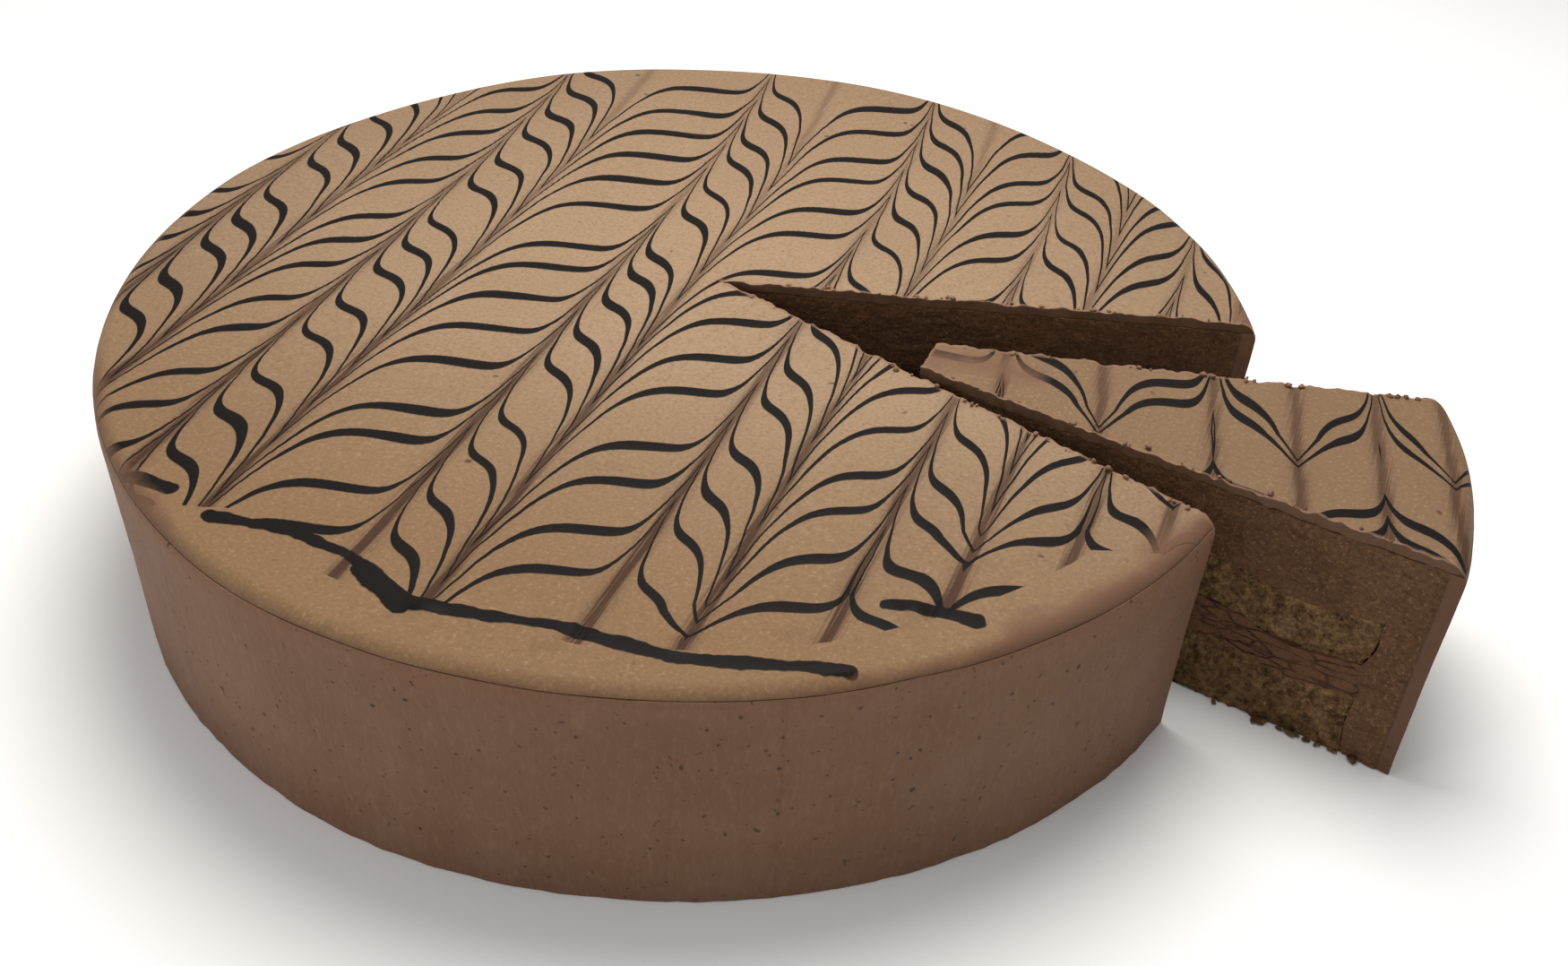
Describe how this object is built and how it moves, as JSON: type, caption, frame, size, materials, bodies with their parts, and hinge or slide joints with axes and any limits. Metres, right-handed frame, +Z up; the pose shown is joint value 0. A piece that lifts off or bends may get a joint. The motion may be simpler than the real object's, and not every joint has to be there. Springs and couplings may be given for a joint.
{
  "type": "chocolate cake",
  "caption": "Round layered chocolate mousse cake with a feathered icing top and a slice drawn partly out of its notch.",
  "frame": {"origin": "middle of the round cake's base, on the surface it stands on", "axes": "+Z up; +X along the notch, from the cake's axis towards the slice drawn out of it; +Y across, to its left"},
  "size_m": [0.3055, 0.2592, 0.0571],
  "materials": {
    "sponge": "open chocolate sponge crumb, dry and matte",
    "filling": "dark chocolate mousse filling with fine cracks, matte",
    "mousse": "set chocolate mousse, smooth and matte with fine streaks",
    "icing": "milk chocolate icing feathered with dark chocolate lines, satin"
  },
  "bodies": {
    "root": {"cake_lower_sponge": "sponge", "cake_filling": "filling", "cake_upper_sponge": "sponge", "cake_mousse": "mousse", "cake_icing": "icing", "slice_lower_sponge": "sponge", "slice_filling": "filling", "slice_upper_sponge": "sponge", "slice_mousse": "mousse", "slice_icing": "icing"}
  },
  "joints": []
}
